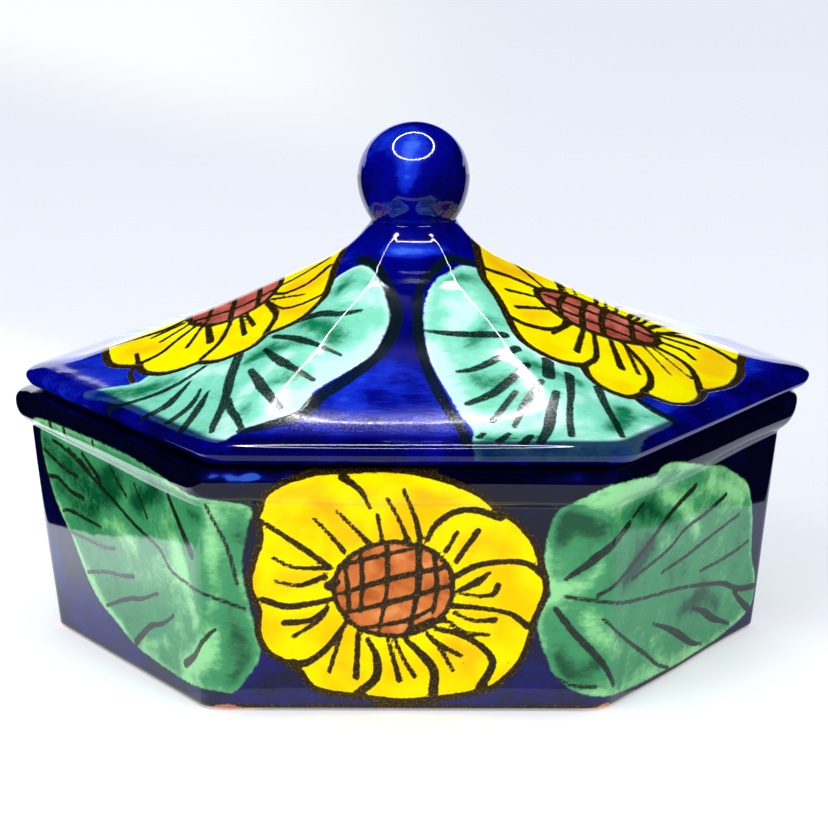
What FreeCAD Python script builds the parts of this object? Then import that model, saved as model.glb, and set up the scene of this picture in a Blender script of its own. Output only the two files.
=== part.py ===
import FreeCAD, Part
import math
import os
import Sketcher

# A covered hexagonal box in glazed red clay: a flared pot, and a hollow concave lid that has a
# locating flange and a ball knob.  Millimetres, +Z up, origin at the centre of the foot.
# Two corners of every hexagon lie on the X axis, so flat sides face -Y and +Y.
# The "radius" of a hexagon is its circumradius, measured to a corner before it is rounded.

DIMENSIONS = {
    # pot
    "foot_radius": 92.0,
    "crease_radius": 98.2,
    "lip_radius": 103.2,
    "crease_height": 52.6,
    "lip_height": 59.0,
    "pot_height": 63.6,
    "corner_round": 8.0,
    "foot_round": 1.2,
    "crease_round": 2.5,
    "lip_round": 2.0,
    "floor_thickness": 7.0,
    "well_radius": 85.1,
    "mouth_radius": 91.5,
    "well_corner_round": 4.0,
    "well_floor_round": 3.0,
    "mouth_round": 1.5,
    # lid: a thick edge, then the roof from the eave up to the apex
    "lid_radius": 103.2,
    "lid_edge_height": 67.8,
    "lid_edge_round": 1.8,
    "eave_radius": 98.8,
    "eave_height": 70.4,
    "lower_roof_radius": 84.0,
    "lower_roof_height": 73.4,
    "middle_roof_radius": 62.0,
    "middle_roof_height": 80.6,
    "upper_roof_radius": 38.0,
    "upper_roof_height": 91.4,
    "apex_radius": 17.6,
    "apex_height": 101.4,
    "ridge_round": 6.0,
    # round neck between the roof and the knob
    "neck_root_radius": 15.1,
    "neck_root_height": 101.0,
    "neck_radius": 10.8,
    "neck_height": 108.2,
    "neck_bend_radius": 8.0,
    # hollow under the roof
    "hollow_radius": 82.0,
    "shoulder_radius": 80.0,
    "shoulder_height": 67.0,
    "hollow_middle_radius": 50.0,
    "hollow_middle_height": 79.4,
    "hollow_top_radius": 14.0,
    "hollow_top_height": 94.0,
    # locating flange under the lid
    "flange_radius": 88.4,
    "flange_depth": 7.0,
    "flange_edge_round": 1.2,
    # knob: a ball on a short stem
    "knob_radius": 14.4,
    "knob_height": 119.5,
    "stem_top_radius": 11.6,
}

CORNERS = 6
LEVEL_TOLERANCE = 0.05

doc = FreeCAD.newDocument("covered_box")
sheet = doc.addObject("Spreadsheet::Sheet", "Dimensions")
for row, (alias, value) in enumerate(DIMENSIONS.items(), start=1):
    sheet.set(f"A{row}", alias)
    sheet.set(f"B{row}", str(value))
    sheet.setAlias(f"B{row}", alias)
doc.recompute()


def cell(alias):
    """The expression that reads one dimension."""
    return f"Dimensions.{alias}"


def origin_plane(body, role):
    """One of a body's own origin planes."""
    for feature in body.Origin.OriginFeatures:
        if feature.Role == role:
            return feature
    raise RuntimeError(f"{body.Name} has no {role}")


def new_body(name):
    """An empty body whose label names its file."""
    body = doc.addObject("PartDesign::Body", name)
    body.Label = name
    body.Placement = FreeCAD.Placement()
    return body


def new_sketch(body, name, plane):
    """An empty sketch on one of a body's origin planes."""
    sketch = body.newObject("Sketcher::SketchObject", name)
    sketch.AttachmentSupport = [(origin_plane(body, plane), "")]
    sketch.MapMode = "FlatFace"
    sketch.Visibility = False
    return sketch


def add_hexagon(sketch, radius_alias, round_alias):
    """A regular hexagon about the origin with tangent arcs for corners, two of them on X."""
    radius = DIMENSIONS[radius_alias]
    corner_round = DIMENSIONS[round_alias]
    reach = radius * math.cos(math.pi / CORNERS)
    half_side = radius / 2 - corner_round * math.tan(math.pi / CORNERS)
    corner_reach = radius - corner_round / math.cos(math.pi / CORNERS)
    up = FreeCAD.Vector(0, 0, 1)
    sides = []
    corners = []
    for number in range(CORNERS):
        facing = math.radians(30 + 60 * number)
        outward = FreeCAD.Vector(math.cos(facing), math.sin(facing), 0)
        along = FreeCAD.Vector(-math.sin(facing), math.cos(facing), 0)
        middle = outward * reach
        side = Part.LineSegment(middle - along * half_side, middle + along * half_side)
        sides.append(sketch.addGeometry(side, False))
        turn = facing + math.radians(30)
        centre = FreeCAD.Vector(math.cos(turn), math.sin(turn), 0) * corner_reach
        circle = Part.Circle(centre, up, corner_round)
        arc = Part.ArcOfCircle(circle, facing, facing + math.radians(60))
        corners.append(sketch.addGeometry(arc, False))
    inscribed = sketch.addGeometry(Part.Circle(FreeCAD.Vector(), up, reach), True)
    sketch.addConstraint(Sketcher.Constraint("Coincident", inscribed, 3, -1, 1))
    for number in range(CORNERS):
        side = sides[number]
        corner = corners[number]
        next_side = sides[(number + 1) % CORNERS]
        sketch.addConstraint(Sketcher.Constraint("Tangent", side, 2, corner, 1))
        sketch.addConstraint(Sketcher.Constraint("Tangent", corner, 2, next_side, 1))
        sketch.addConstraint(Sketcher.Constraint("Tangent", side, inscribed))
    for number in range(1, CORNERS):
        sketch.addConstraint(Sketcher.Constraint("Equal", corners[0], corners[number]))
        sketch.addConstraint(Sketcher.Constraint("Equal", sides[0], sides[number]))
    sketch.addConstraint(Sketcher.Constraint("Horizontal", sides[1]))
    size = sketch.addConstraint(Sketcher.Constraint("Radius", inscribed, reach))
    sketch.setExpression(f"Constraints[{size}]", f"{cell(radius_alias)} * cos(30)")
    rounding = sketch.addConstraint(Sketcher.Constraint("Radius", corners[0], corner_round))
    sketch.setExpression(f"Constraints[{rounding}]", cell(round_alias))


def hexagon(body, name, radius_alias, round_alias, height_alias=None):
    """A sketch that holds one rounded hexagon, level with the foot or at a height."""
    sketch = new_sketch(body, name, "XY_Plane")
    if height_alias:
        sketch.setExpression("AttachmentOffset.Base.z", cell(height_alias))
    add_hexagon(sketch, radius_alias, round_alias)
    return sketch


def loft(body, kind, name, sections, ruled=True):
    """A loft, or a lofted cut, through sketches in order."""
    feature = body.newObject(f"PartDesign::{kind}", name)
    feature.Profile = sections[0]
    feature.Sections = sections[1:]
    feature.Ruled = ruled
    doc.recompute()
    return feature


def pad(body, name, sketch, length, downward=False):
    """A pad whose length is an expression."""
    feature = body.newObject("PartDesign::Pad", name)
    feature.Profile = sketch
    feature.setExpression("Length", length)
    feature.Reversed = downward
    doc.recompute()
    return feature


def round_level_edges(body, name, round_alias, height, nearest, farthest):
    """Fillet the body's level edges at a height, between two distances from the axis."""
    base = body.Tip
    chosen = []
    for number, edge in enumerate(base.Shape.Edges, start=1):
        level = all(abs(vertex.Point.z - height) < LEVEL_TOLERANCE for vertex in edge.Vertexes)
        middle = edge.valueAt((edge.FirstParameter + edge.LastParameter) / 2)
        if level and nearest < math.hypot(middle.x, middle.y) < farthest:
            chosen.append(f"Edge{number}")
    if not chosen:
        raise RuntimeError(f"{name}: no edge to round")
    fillet = body.newObject("PartDesign::Fillet", name)
    fillet.Base = (base, chosen)
    fillet.setExpression("Radius", cell(round_alias))
    doc.recompute()
    return fillet


def revolve(body, name, sketch):
    """A solid of revolution about Z from a sketch in the XZ plane."""
    feature = body.newObject("PartDesign::Revolution", name)
    feature.Profile = sketch
    feature.ReferenceAxis = (sketch, ["V_Axis"])
    feature.Angle = 360
    doc.recompute()
    return feature


def place_point(sketch, geometry, end, radius_alias, height_alias):
    """Hold a sketch point at a distance from the axis and at a height."""
    distance = sketch.addConstraint(Sketcher.Constraint(
        "DistanceX", -1, 1, geometry, end, DIMENSIONS[radius_alias]))
    sketch.setExpression(f"Constraints[{distance}]", cell(radius_alias))
    height = sketch.addConstraint(Sketcher.Constraint(
        "DistanceY", -1, 1, geometry, end, DIMENSIONS[height_alias]))
    sketch.setExpression(f"Constraints[{height}]", cell(height_alias))


def join(sketch, pairs):
    """Make pairs of line ends coincide: first line, its end, second line, its end."""
    for first, first_end, second, second_end in pairs:
        sketch.addConstraint(
            Sketcher.Constraint("Coincident", first, first_end, second, second_end))


def build_pot_body():
    """The pot: floor, six walls and a flared lip, one piece of fired clay."""
    body = new_body("pot_body")
    foot = hexagon(body, "Foot", "foot_radius", "corner_round")
    wall_top = hexagon(body, "WallTop", "crease_radius", "corner_round", "crease_height")
    loft(body, "AdditiveLoft", "Walls", [foot, wall_top])
    flare_low = hexagon(body, "FlareLow", "crease_radius", "corner_round", "crease_height")
    flare_high = hexagon(body, "FlareHigh", "lip_radius", "corner_round", "lip_height")
    loft(body, "AdditiveLoft", "Flare", [flare_low, flare_high])
    lip = hexagon(body, "Lip", "lip_radius", "corner_round", "lip_height")
    pad(body, "LipBand", lip, f"{cell('pot_height')} - {cell('lip_height')}")
    pot_height = DIMENSIONS["pot_height"]
    outside = DIMENSIONS["foot_radius"] * math.cos(math.pi / CORNERS) - 1
    beyond = DIMENSIONS["lip_radius"] + 1
    round_level_edges(body, "LipTop", "lip_round", pot_height, outside, beyond)
    round_level_edges(body, "LipUnder", "lip_round", DIMENSIONS["lip_height"], outside, beyond)
    round_level_edges(body, "Crease", "crease_round", DIMENSIONS["crease_height"],
                      outside, beyond)
    round_level_edges(body, "FootEdge", "foot_round", 0.0, outside, beyond)

    solid_volume = body.Shape.Volume
    well_floor = hexagon(body, "WellFloor", "well_radius", "well_corner_round",
                         "floor_thickness")
    mouth = hexagon(body, "Mouth", "mouth_radius", "well_corner_round", "pot_height")
    loft(body, "SubtractiveLoft", "Well", [well_floor, mouth])
    if body.Shape.Volume > solid_volume / 2:
        raise RuntimeError("the well is not cut out of the pot")
    inside = DIMENSIONS["well_radius"] * 0.8
    round_level_edges(body, "WellFloorEdge", "well_floor_round",
                      DIMENSIONS["floor_thickness"], inside, DIMENSIONS["well_radius"])
    round_level_edges(body, "MouthEdge", "mouth_round", pot_height,
                      inside, DIMENSIONS["mouth_radius"])
    return body


def build_lid_shell():
    """The lid: a thick edge, a concave six-sided roof and a round neck, hollow underneath."""
    body = new_body("lid_shell")
    edge = hexagon(body, "EdgeOutline", "lid_radius", "corner_round", "pot_height")
    pad(body, "Edge", edge, f"{cell('lid_edge_height')} - {cell('pot_height')}")
    bevel_low = hexagon(body, "BevelLow", "lid_radius", "corner_round", "lid_edge_height")
    bevel_high = hexagon(body, "BevelHigh", "eave_radius", "ridge_round", "eave_height")
    loft(body, "AdditiveLoft", "Bevel", [bevel_low, bevel_high])
    sections = []
    for alias in ("eave", "lower_roof", "middle_roof", "upper_roof", "apex"):
        sections.append(hexagon(body, f"{alias}_outline", f"{alias}_radius", "ridge_round",
                                f"{alias}_height"))
    loft(body, "AdditiveLoft", "Roof", sections, ruled=False)
    add_neck(body)
    beyond = DIMENSIONS["lid_radius"] + 1
    edge_inside = (DIMENSIONS["lid_radius"] - 1) * math.cos(math.pi / CORNERS)
    for name, height_alias in (("EdgeUnder", "pot_height"), ("EdgeTop", "lid_edge_height")):
        round_level_edges(body, name, "lid_edge_round", DIMENSIONS[height_alias],
                          edge_inside, beyond)

    solid_volume = body.Shape.Volume
    brim = hexagon(body, "HollowBrim", "hollow_radius", "well_corner_round", "pot_height")
    shoulder = hexagon(body, "HollowShoulder", "shoulder_radius", "well_corner_round",
                       "shoulder_height")
    middle = hexagon(body, "HollowMiddle", "hollow_middle_radius", "well_corner_round",
                     "hollow_middle_height")
    top = hexagon(body, "HollowTop", "hollow_top_radius", "well_corner_round",
                  "hollow_top_height")
    loft(body, "SubtractiveLoft", "Hollow", [brim, shoulder, middle, top])
    if body.Shape.Volume > solid_volume * 0.75:
        raise RuntimeError("the lid is not hollowed")
    return body


def add_neck(body):
    """The round neck under the knob, its side a concave arc."""
    sketch = new_sketch(body, "NeckOutline", "XZ_Plane")
    root = FreeCAD.Vector(DIMENSIONS["neck_root_radius"], DIMENSIONS["neck_root_height"], 0)
    top = FreeCAD.Vector(DIMENSIONS["neck_radius"], DIMENSIONS["neck_height"], 0)
    bend = DIMENSIONS["neck_bend_radius"]
    chord = top - root
    half_chord = chord.Length / 2
    outward = FreeCAD.Vector(chord.y, -chord.x, 0).normalize()
    centre = (root + top) / 2 + outward * math.sqrt(bend ** 2 - half_chord ** 2)
    from_top = math.atan2(top.y - centre.y, top.x - centre.x) % (2 * math.pi)
    from_root = math.atan2(root.y - centre.y, root.x - centre.x) % (2 * math.pi)
    circle = Part.Circle(centre, FreeCAD.Vector(0, 0, 1), bend)
    floor_line = sketch.addGeometry(Part.LineSegment(FreeCAD.Vector(0, root.y, 0), root), False)
    side = sketch.addGeometry(Part.ArcOfCircle(circle, from_top, from_root), False)
    top_line = sketch.addGeometry(Part.LineSegment(top, FreeCAD.Vector(0, top.y, 0)), False)
    axis_line = sketch.addGeometry(
        Part.LineSegment(FreeCAD.Vector(0, top.y, 0), FreeCAD.Vector(0, root.y, 0)), False)
    join(sketch, ((floor_line, 2, side, 2), (side, 1, top_line, 1),
                  (top_line, 2, axis_line, 1), (axis_line, 2, floor_line, 1)))
    for line in (floor_line, top_line):
        sketch.addConstraint(Sketcher.Constraint("Horizontal", line))
    sketch.addConstraint(Sketcher.Constraint("PointOnObject", axis_line, 1, -2))
    sketch.addConstraint(Sketcher.Constraint("PointOnObject", axis_line, 2, -2))
    place_point(sketch, side, 2, "neck_root_radius", "neck_root_height")
    place_point(sketch, side, 1, "neck_radius", "neck_height")
    bending = sketch.addConstraint(Sketcher.Constraint("Radius", side, bend))
    sketch.setExpression(f"Constraints[{bending}]", cell("neck_bend_radius"))
    return revolve(body, "Neck", sketch)


def build_lid_locating_flange():
    """A six-sided ring on the lid's underside that drops inside the pot's mouth."""
    body = new_body("lid_locating_flange")
    outline = hexagon(body, "FlangeOutline", "flange_radius", "corner_round", "pot_height")
    add_hexagon(outline, "hollow_radius", "well_corner_round")
    pad(body, "Ring", outline, cell("flange_depth"), downward=True)
    low = DIMENSIONS["pot_height"] - DIMENSIONS["flange_depth"]
    within = DIMENSIONS["hollow_radius"] * math.cos(math.pi / CORNERS) - 1
    round_level_edges(body, "FlangeEdges", "flange_edge_round", low,
                      within, DIMENSIONS["flange_radius"])
    return body


def build_lid_knob():
    """The ball knob, whose short stem has a flat seat where it is luted to the neck."""
    body = new_body("lid_knob")
    sketch = new_sketch(body, "KnobOutline", "XZ_Plane")
    radius = DIMENSIONS["knob_radius"]
    height = DIMENSIONS["knob_height"]
    stem_top_radius = DIMENSIONS["stem_top_radius"]
    seat_height = DIMENSIONS["neck_height"]
    stem_top_height = height - math.sqrt(radius ** 2 - stem_top_radius ** 2)
    stem_angle = math.atan2(stem_top_height - height, stem_top_radius)
    circle = Part.Circle(FreeCAD.Vector(0, height, 0), FreeCAD.Vector(0, 0, 1), radius)
    stem_top = FreeCAD.Vector(stem_top_radius, stem_top_height, 0)
    seat_edge = FreeCAD.Vector(DIMENSIONS["neck_radius"], seat_height, 0)
    axis_low = FreeCAD.Vector(0, seat_height, 0)
    axis_high = FreeCAD.Vector(0, height + radius, 0)
    ball = sketch.addGeometry(Part.ArcOfCircle(circle, stem_angle, math.pi / 2), False)
    axis_line = sketch.addGeometry(Part.LineSegment(axis_high, axis_low), False)
    seat_line = sketch.addGeometry(Part.LineSegment(axis_low, seat_edge), False)
    stem_line = sketch.addGeometry(Part.LineSegment(seat_edge, stem_top), False)
    join(sketch, ((ball, 2, axis_line, 1), (axis_line, 2, seat_line, 1),
                  (seat_line, 2, stem_line, 1), (stem_line, 2, ball, 1)))
    sketch.addConstraint(Sketcher.Constraint("PointOnObject", ball, 3, -2))
    sketch.addConstraint(Sketcher.Constraint("PointOnObject", axis_line, 1, -2))
    sketch.addConstraint(Sketcher.Constraint("PointOnObject", axis_line, 2, -2))
    sketch.addConstraint(Sketcher.Constraint("Horizontal", seat_line))
    size = sketch.addConstraint(Sketcher.Constraint("Radius", ball, radius))
    sketch.setExpression(f"Constraints[{size}]", cell("knob_radius"))
    level = sketch.addConstraint(Sketcher.Constraint("DistanceY", -1, 1, ball, 3, height))
    sketch.setExpression(f"Constraints[{level}]", cell("knob_height"))
    reach = sketch.addConstraint(
        Sketcher.Constraint("DistanceX", -1, 1, stem_line, 2, stem_top_radius))
    sketch.setExpression(f"Constraints[{reach}]", cell("stem_top_radius"))
    place_point(sketch, stem_line, 1, "neck_radius", "neck_height")
    revolve(body, "Ball", sketch)
    return body


bodies = [
    build_pot_body(),
    build_lid_shell(),
    build_lid_locating_flange(),
    build_lid_knob(),
]
doc.recompute()

for item in doc.Objects:
    if "Invalid" in item.State or "Error" in item.State:
        raise RuntimeError(f"{item.Name} failed: {item.State}")
for body in bodies:
    if body.Shape.isNull() or not body.Shape.isValid():
        raise RuntimeError(f"{body.Label} has no valid shape")

os.makedirs("parts", exist_ok=True)
for body in bodies:
    body.Shape.exportStep(os.path.join("parts", f"{body.Label}.step"))
    box = body.Shape.BoundBox
    print(f"{body.Label}: {body.Shape.Volume / 1000:.1f} cm3, "
          f"{box.XLength:.1f} x {box.YLength:.1f} x {box.ZLength:.1f} mm")
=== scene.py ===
import math

import bpy
import numpy as np
from mathutils import Matrix, Vector


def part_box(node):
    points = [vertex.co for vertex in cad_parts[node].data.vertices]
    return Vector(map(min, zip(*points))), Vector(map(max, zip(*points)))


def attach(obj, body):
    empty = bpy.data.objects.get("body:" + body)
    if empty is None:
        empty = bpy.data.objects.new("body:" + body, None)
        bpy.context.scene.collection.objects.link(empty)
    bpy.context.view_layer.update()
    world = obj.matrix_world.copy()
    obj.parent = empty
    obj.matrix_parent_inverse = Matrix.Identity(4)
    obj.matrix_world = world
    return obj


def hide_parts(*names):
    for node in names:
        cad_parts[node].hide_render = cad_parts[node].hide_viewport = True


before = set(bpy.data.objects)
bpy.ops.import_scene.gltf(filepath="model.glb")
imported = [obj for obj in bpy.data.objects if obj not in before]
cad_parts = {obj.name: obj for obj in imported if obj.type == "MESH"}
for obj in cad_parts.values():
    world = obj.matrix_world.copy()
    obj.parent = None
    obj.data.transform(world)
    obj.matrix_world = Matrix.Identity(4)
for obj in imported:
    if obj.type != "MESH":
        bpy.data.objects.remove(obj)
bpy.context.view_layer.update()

# The painted box: its pot, lid, flange and knob are rebuilt as hand-made glazed clay around the
# CAD frame.  Lengths below are millimetres in the frame's own axes; MM turns them into metres.
# Paint is laid out in two flat charts.  The pot's chart is (way round, height): 0 is the middle
# of the front side and each side is SIDE_CHART wide.  The lid's chart is its plan, (x, y).

MM = 0.001
COS30 = math.cos(math.radians(30))
TAN30 = math.tan(math.radians(30))
SIDE_CHART = 96.0
CORNER_CHART = 4.6
FAR = 3.5
THINNEST_LINE = 1.05
TINY = 1e-9

_, pot_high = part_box("pot_body")
_, lid_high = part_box("lid_shell")
flange_low, flange_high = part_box("lid_locating_flange")
knob_low, knob_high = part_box("lid_knob")
POT_TOP = pot_high.z / MM
LIP_REACH = pot_high.y / MM
LID_REACH = lid_high.y / MM
NECK_TOP = lid_high.z / MM
FLANGE_LOW = flange_low.z / MM
FLANGE_REACH = flange_high.y / MM
KNOB_RADIUS = (knob_high.x - knob_low.x) / 2 / MM
KNOB_CENTRE = knob_high.z / MM - KNOB_RADIUS

# How the fired clay departs from the drawing.
LID_SHIFT = 2.0
LID_EDGE_SHIFT = 1.0
CREASE = 53.3
FOOT_STRETCH = 0.065
CLAY_WOBBLE = 0.3
CLAY_WOBBLE_LENGTH = 60.0


# ---------------------------------------------------------------- curves and profiles

def spline(points, steps=8):
    """A smooth line through points, each of any number of values."""
    nodes = np.array(points, float)
    if len(nodes) == 2:
        share = np.linspace(0, 1, steps + 1)[:, None]
        return nodes[0] * (1 - share) + nodes[1] * share
    nodes = np.concatenate([[2 * nodes[0] - nodes[1]], nodes, [2 * nodes[-1] - nodes[-2]]])
    share = np.linspace(0, 1, steps, endpoint=False)[:, None]
    pieces = []
    for before, start, end, after in zip(nodes, nodes[1:], nodes[2:], nodes[3:]):
        pieces.append(0.5 * (2 * start + (end - before) * share
                             + (2 * before - 5 * start + 4 * end - after) * share ** 2
                             + (3 * start - before - 3 * end + after) * share ** 3))
    pieces.append(nodes[-2][None, :])
    return np.concatenate(pieces)


def closed_spline(points, steps=6):
    """A smooth closed outline through points."""
    nodes = [points[-1], *points, points[0], points[1]]
    return spline(nodes, steps)[steps:-steps - 1]


def arc(centre, size, start, end, steps=8):
    """Points of part of an oval: centre, size across and up, angles in degrees."""
    turn = np.radians(np.linspace(start, end, steps + 1))
    return np.stack([centre[0] + size[0] * np.cos(turn), centre[1] + size[1] * np.sin(turn)], 1)


def lengths_along(path):
    steps = np.hypot(*np.diff(path[:, :2], axis=0).T)
    return np.concatenate([[0], np.cumsum(steps)])


def evenly(path, spacing):
    """The same line with points an even distance apart."""
    path = np.array(path, float)
    along = lengths_along(path)
    wanted = np.linspace(0, along[-1], max(2, int(round(along[-1] / spacing)) + 1))
    return np.stack([np.interp(wanted, along, column) for column in path.T], 1)


def pairs(numbers):
    """Points from a flat run of x, y, x, y and so on."""
    return np.reshape(numbers, (-1, 2)).astype(float)


def ripple(places, length, seed, count=10):
    """Smooth seeded noise between about -1 and 1, with waves near one length."""
    random = np.random.default_rng(seed)
    total = np.zeros(len(places))
    for _ in range(count):
        direction = random.normal(size=places.shape[1])
        direction /= np.linalg.norm(direction)
        pitch = 2 * math.pi / (length * random.uniform(0.7, 1.5))
        total += np.sin(places @ direction * pitch + random.uniform(0, 2 * math.pi))
    return total / math.sqrt(count)


# ---------------------------------------------------------------- six-sided shells

def hexagon_rows(rows, side_steps, corner_steps):
    """Rings of rounded hexagons from rows of (reach, height, corner rounding).

    Returns the rings as rows x columns x 3, and each column's way round the chart.
    """
    reach, height, rounding = (np.asarray(column, float)[:, None] for column in rows.T)
    rounding = np.minimum(rounding, reach)
    half_side = (reach - rounding) * TAN30
    corner_centre = (reach - rounding) / COS30
    straight = SIDE_CHART / 2 - CORNER_CHART
    across = np.linspace(-1, 1, side_steps, endpoint=False)[None, :]
    turn = np.linspace(0, 1, corner_steps, endpoint=False)[None, :]
    xs, ys, ways = [], [], []
    for side in range(-2, 4):
        facing = math.radians(-90 + 60 * side)
        xs.append(reach * math.cos(facing) - across * half_side * math.sin(facing))
        ys.append(reach * math.sin(facing) + across * half_side * math.cos(facing))
        ways.append(SIDE_CHART * side + across[0] * straight)
        angle = facing + turn * math.radians(60)
        middle = facing + math.radians(30)
        xs.append(corner_centre * math.cos(middle) + rounding * np.cos(angle))
        ys.append(corner_centre * math.sin(middle) + rounding * np.sin(angle))
        ways.append(SIDE_CHART * side + straight + turn[0] * 2 * CORNER_CHART)
    x, y = np.concatenate(xs, 1), np.concatenate(ys, 1)
    return np.stack([x, y, height + 0 * x], 2), np.concatenate(ways)


def circle_rows(rows, columns):
    """Rings of circles from rows of (radius, height)."""
    turn = np.linspace(0, 2 * math.pi, columns, endpoint=False)[None, :]
    radius, height = rows[:, 0:1], rows[:, 1:2]
    return np.stack([radius * np.cos(turn), radius * np.sin(turn), height + 0 * turn], 2)


def ring_mesh(name, grid, loop=False):
    """A smooth closed mesh from rings of points.  Its end rings are capped, or joined in a loop."""
    rows, columns, _ = grid.shape
    index = np.arange(rows * columns).reshape(rows, columns)
    if loop:
        index = np.concatenate([index, index[:1]])
    beside = np.roll(index, -1, axis=1)
    quads = np.stack([index[:-1], beside[:-1], beside[1:], index[1:]], -1).reshape(-1, 4)
    faces = quads.tolist()
    if not loop:
        faces += [index[0][::-1].tolist(), index[-1].tolist()]
    mesh = bpy.data.meshes.new(name)
    mesh.from_pydata((grid.reshape(-1, 3) * MM).tolist(), [], faces)
    mesh.validate()
    mesh.shade_smooth()
    piece = bpy.data.objects.new(name, mesh)
    bpy.context.scene.collection.objects.link(piece)
    return piece


def store(piece, fields):
    """Keep numbers per vertex, for the material to read."""
    for name, values in fields.items():
        layer = piece.data.attributes.new(name, "FLOAT", "POINT")
        layer.data.foreach_set("value", np.asarray(values, np.float32))


def wobble(grid, seed, level_heights, depth=CLAY_WOBBLE):
    """Uneven hand-pressed clay, which stays true where it must sit level."""
    flat = grid.reshape(-1, 3)
    free = np.ones(len(flat))
    for height in level_heights:
        free = np.minimum(free, np.clip(np.abs(flat[:, 2] - height) / 8.0, 0, 1))
    moved = flat.copy()
    for axis in range(3):
        push = depth * ripple(flat, CLAY_WOBBLE_LENGTH, seed + axis)
        moved[:, axis] += push * (free if axis == 2 else 1.0)
    return moved.reshape(grid.shape)


# ---------------------------------------------------------------- brush and paint fields

def nearby(chart, path, margin, batch):
    """Indices of the chart's points within a margin of a path's box, in batches."""
    near = ((chart > path.min(0) - margin) & (chart < path.max(0) + margin)).all(1)
    near = np.nonzero(near)[0]
    return np.array_split(near, len(near) // batch + 1)


def to_segments(places, start, span):
    """Each place's distance to each segment, and its share of the way along it."""
    offset = places[:, None, :] - start[None, :, :]
    share = np.clip((offset * span).sum(2) / np.maximum((span ** 2).sum(1), TINY), 0, 1)
    return np.linalg.norm(offset - share[..., None] * span, axis=2), share


def paint_stroke(field, chart, points, widths):
    """Raise a field to the signed depth inside one brush stroke, positive within it."""
    path = spline(points)
    half = np.interp(np.linspace(0, 1, len(path)), np.linspace(0, 1, len(widths)), widths) / 2
    half = np.maximum(half, THINNEST_LINE / 2)
    for part in nearby(chart, path, FAR + half.max(), 20000):
        gap, share = to_segments(chart[part], path[:-1], np.diff(path, axis=0))
        depth = half[:-1] * (1 - share) + half[1:] * share - gap
        field[part] = np.maximum(field[part], depth.max(1, initial=-FAR))


def inside_loop(chart, loop):
    """Signed depth inside a closed outline, positive within it."""
    depth = np.full(len(chart), -FAR)
    start, end = loop, np.roll(loop, -1, axis=0)
    span = end - start
    slope = np.where(np.abs(span[:, 1]) < TINY, TINY, span[:, 1])
    for part in nearby(chart, loop, FAR, 8000):
        place = chart[part]
        gap = to_segments(place, start, span)[0].min(1, initial=FAR)
        rising = (start[:, 1] > place[:, 1:2]) != (end[:, 1] > place[:, 1:2])
        crossing = start[:, 0] + (place[:, 1:2] - start[:, 1]) * span[:, 0] / slope
        inside = (rising & (place[:, 0:1] < crossing)).sum(1) % 2 == 1
        depth[part] = np.where(inside, gap, -gap)
    return depth


class Paint:
    """The painted layers over one chart, as signed depths: leaf, vein, petal, disc and ink."""

    def __init__(self, chart):
        self.chart = chart
        names = ("leaf", "deep", "light", "vein", "petal", "orange", "disc", "ink")
        self.fields = {name: np.full(len(chart), -FAR) for name in names}

    def fill(self, name, loop):
        self.fields[name] = np.maximum(self.fields[name], inside_loop(self.chart, loop))

    def strokes(self, name, strokes):
        for widths, *points in strokes:
            paint_stroke(self.fields[name], self.chart, pairs(points), np.atleast_1d(widths))

    def outline(self, width, loop, every):
        """An ink line round a closed outline, through some of its points."""
        self.strokes("ink", [(width, *np.append(loop[::every], loop[0]))])

    def leaf(self, leaf):
        self.fill("leaf", closed_spline(pairs(leaf["edge"])))
        for name in ("deep", "light", "vein"):
            self.strokes(name, leaf[name])

    def flower(self, flower):
        petals = flower["petals"]
        notches = [petal[-2:] for petal in petals[-1:] + petals[:-1]]
        rim = np.concatenate([spline(pairs(notch + petal)) for notch, petal in zip(notches, petals)])
        self.fill("petal", rim)
        away = rim - np.array(flower["centre"])
        away /= np.linalg.norm(away, axis=1)[:, None]
        self.outline(flower["rim"], rim + away * flower["rim"] * 0.4, 3)
        disc = closed_spline(pairs(flower["disc"]))
        self.fill("disc", disc)
        self.outline(flower["disc_rim"], disc, 2)
        self.strokes("ink", flower["ink"])
        self.strokes("orange", flower["orange"])

    def over(self, other, share):
        """Take another paint's fields where share is true."""
        for name, field in self.fields.items():
            self.fields[name] = np.where(share, other.fields[name], field)

    def kept(self, shown):
        """The fields, with no paint where shown is false."""
        return {name: np.where(shown, field, -FAR) for name, field in self.fields.items()}


# ---------------------------------------------------------------- the painted design
# Points are x, y, x, y in millimetres of the chart.  A stroke is its widths and then its points.
# Each petal runs from the last point of the one before it.

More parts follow.
